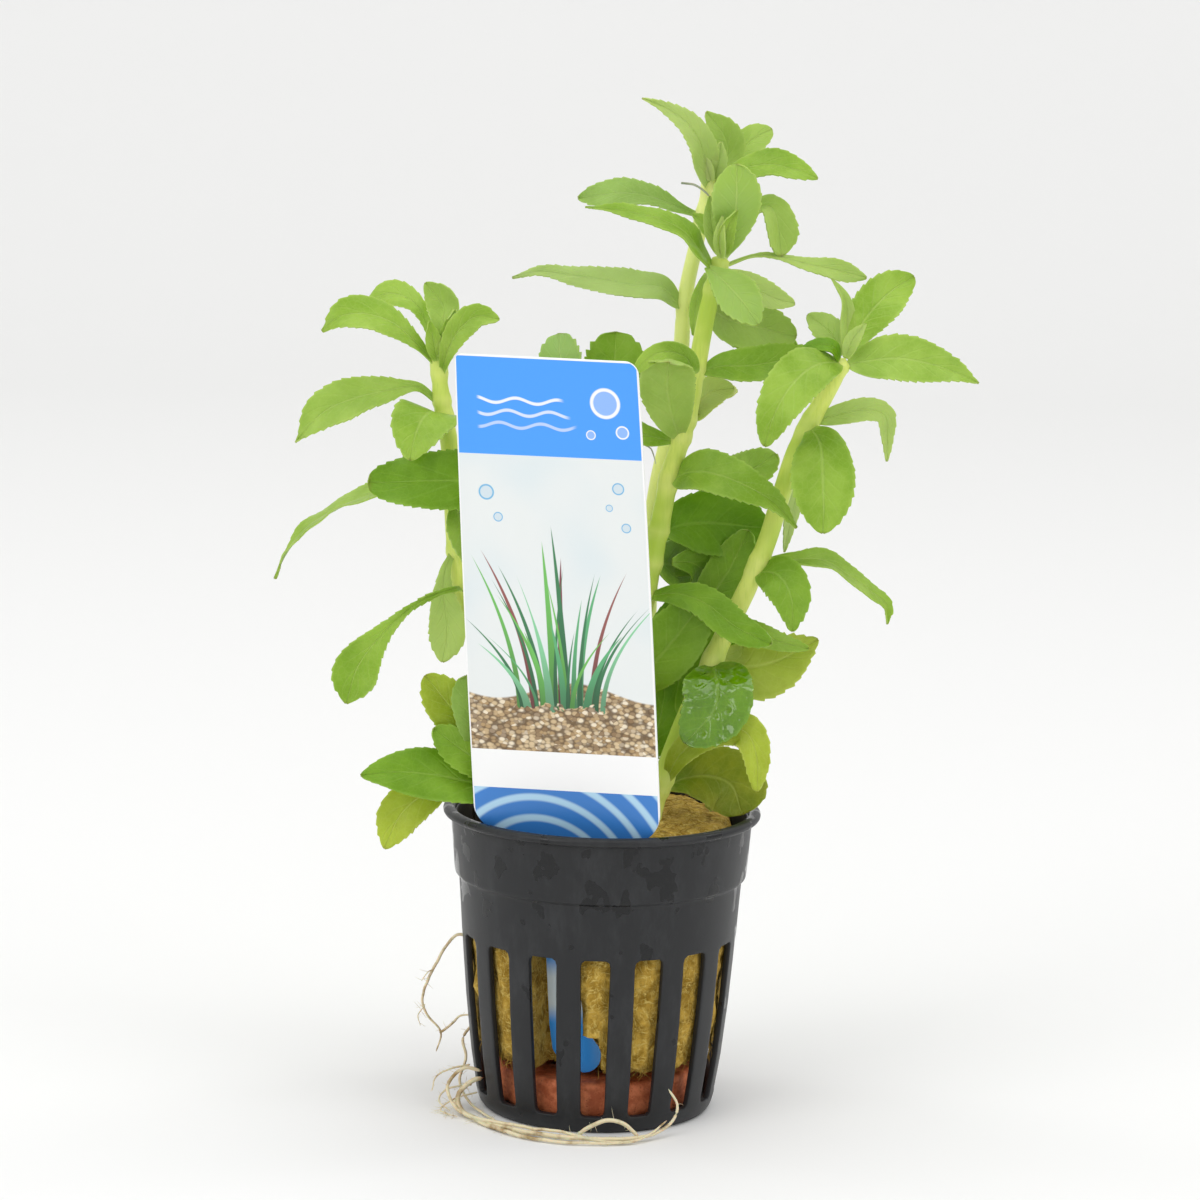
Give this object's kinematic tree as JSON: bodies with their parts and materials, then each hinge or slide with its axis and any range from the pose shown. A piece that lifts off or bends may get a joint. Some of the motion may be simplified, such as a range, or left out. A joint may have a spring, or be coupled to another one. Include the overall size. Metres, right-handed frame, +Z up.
{
  "type": "potted rice paddy herb",
  "caption": "Leafy aquarium herb rooted in a rock wool plug, standing in a black slotted net pot with a plastic plant label; serrated green leaves on upright stems.",
  "frame": {"origin": "middle of the pot's flat underside", "axes": "+Z up along the stems, -Y the front, where the plant label stands, +X to the right of someone who looks at the front"},
  "size_m": [0.1148, 0.0603, 0.1682],
  "materials": {
    "pot": "matte",
    "rock_wool": "matte",
    "clay": "matte",
    "label": "gloss",
    "stem": "satin",
    "leaf_fresh": "satin",
    "leaf_deep": "satin",
    "leaf_pale": "satin",
    "leaf_yellowed": "satin",
    "root": "matte"
  },
  "bodies": {
    "root": {"clay_ring": "clay", "leaf_back_middle_left": "leaf_fresh", "leaf_back_tip_far": "leaf_fresh", "leaf_back_tip_long": "leaf_fresh", "leaf_back_tip_right": "leaf_fresh", "leaf_back_tip_upright": "leaf_fresh", "leaf_back_upper_back": "leaf_deep", "leaf_back_upper_left": "leaf_fresh", "leaf_centre_foot_dark": "leaf_deep", "leaf_centre_low_ascending": "leaf_deep", "leaf_centre_low_broad": "leaf_deep", "leaf_centre_low_long": "leaf_fresh", "leaf_centre_middle_arching": "leaf_fresh", "leaf_centre_middle_back": "leaf_yellowed", "leaf_centre_middle_broad": "leaf_deep", "leaf_centre_middle_curled": "leaf_fresh", "leaf_centre_middle_far": "leaf_fresh", "leaf_centre_middle_right": "leaf_deep", "leaf_centre_tip_arched": "leaf_fresh", "leaf_centre_tip_round": "leaf_pale", "leaf_centre_upper_hanging": "leaf_deep", "leaf_centre_upper_left": "leaf_deep", "leaf_centre_upper_right": "leaf_fresh", "leaf_left_foot_folded": "leaf_yellowed", "leaf_left_foot_long": "leaf_deep", "leaf_left_foot_yellow": "leaf_yellowed", "leaf_left_low_hanging": "leaf_yellowed", "leaf_left_low_long": "leaf_fresh", "leaf_left_middle_slender": "leaf_fresh", "leaf_left_tip_arched": "leaf_fresh", "leaf_left_tip_long": "leaf_fresh", "leaf_left_tip_right": "leaf_fresh", "leaf_left_tip_upright": "leaf_pale", "leaf_left_upper_front": "leaf_fresh", "leaf_left_upper_long": "leaf_fresh", "leaf_right_foot_hanging": "leaf_yellowed", "leaf_right_foot_olive": "leaf_deep", "leaf_right_low_glossy": "leaf_deep", "leaf_right_low_yellow": "leaf_yellowed", "leaf_right_middle_arching": "leaf_fresh", "leaf_right_middle_hanging": "leaf_fresh", "leaf_right_tip_broad": "leaf_fresh", "leaf_right_tip_long": "leaf_fresh", "leaf_right_tip_upright": "leaf_fresh", "leaf_right_upper_back": "leaf_deep", "leaf_right_upper_bent": "leaf_fresh", "leaf_right_upper_front": "leaf_fresh", "leaf_short_broad": "leaf_deep", "leaf_short_tip_left": "leaf_pale", "leaf_short_tip_right": "leaf_deep", "net_pot": "pot", "plant_label": "label", "rock_wool_plug": "rock_wool", "root_foot": "root", "root_loop": "root", "stem_back": "stem", "stem_centre": "stem", "stem_left": "stem", "stem_right": "stem", "stem_short": "stem"}
  },
  "joints": []
}
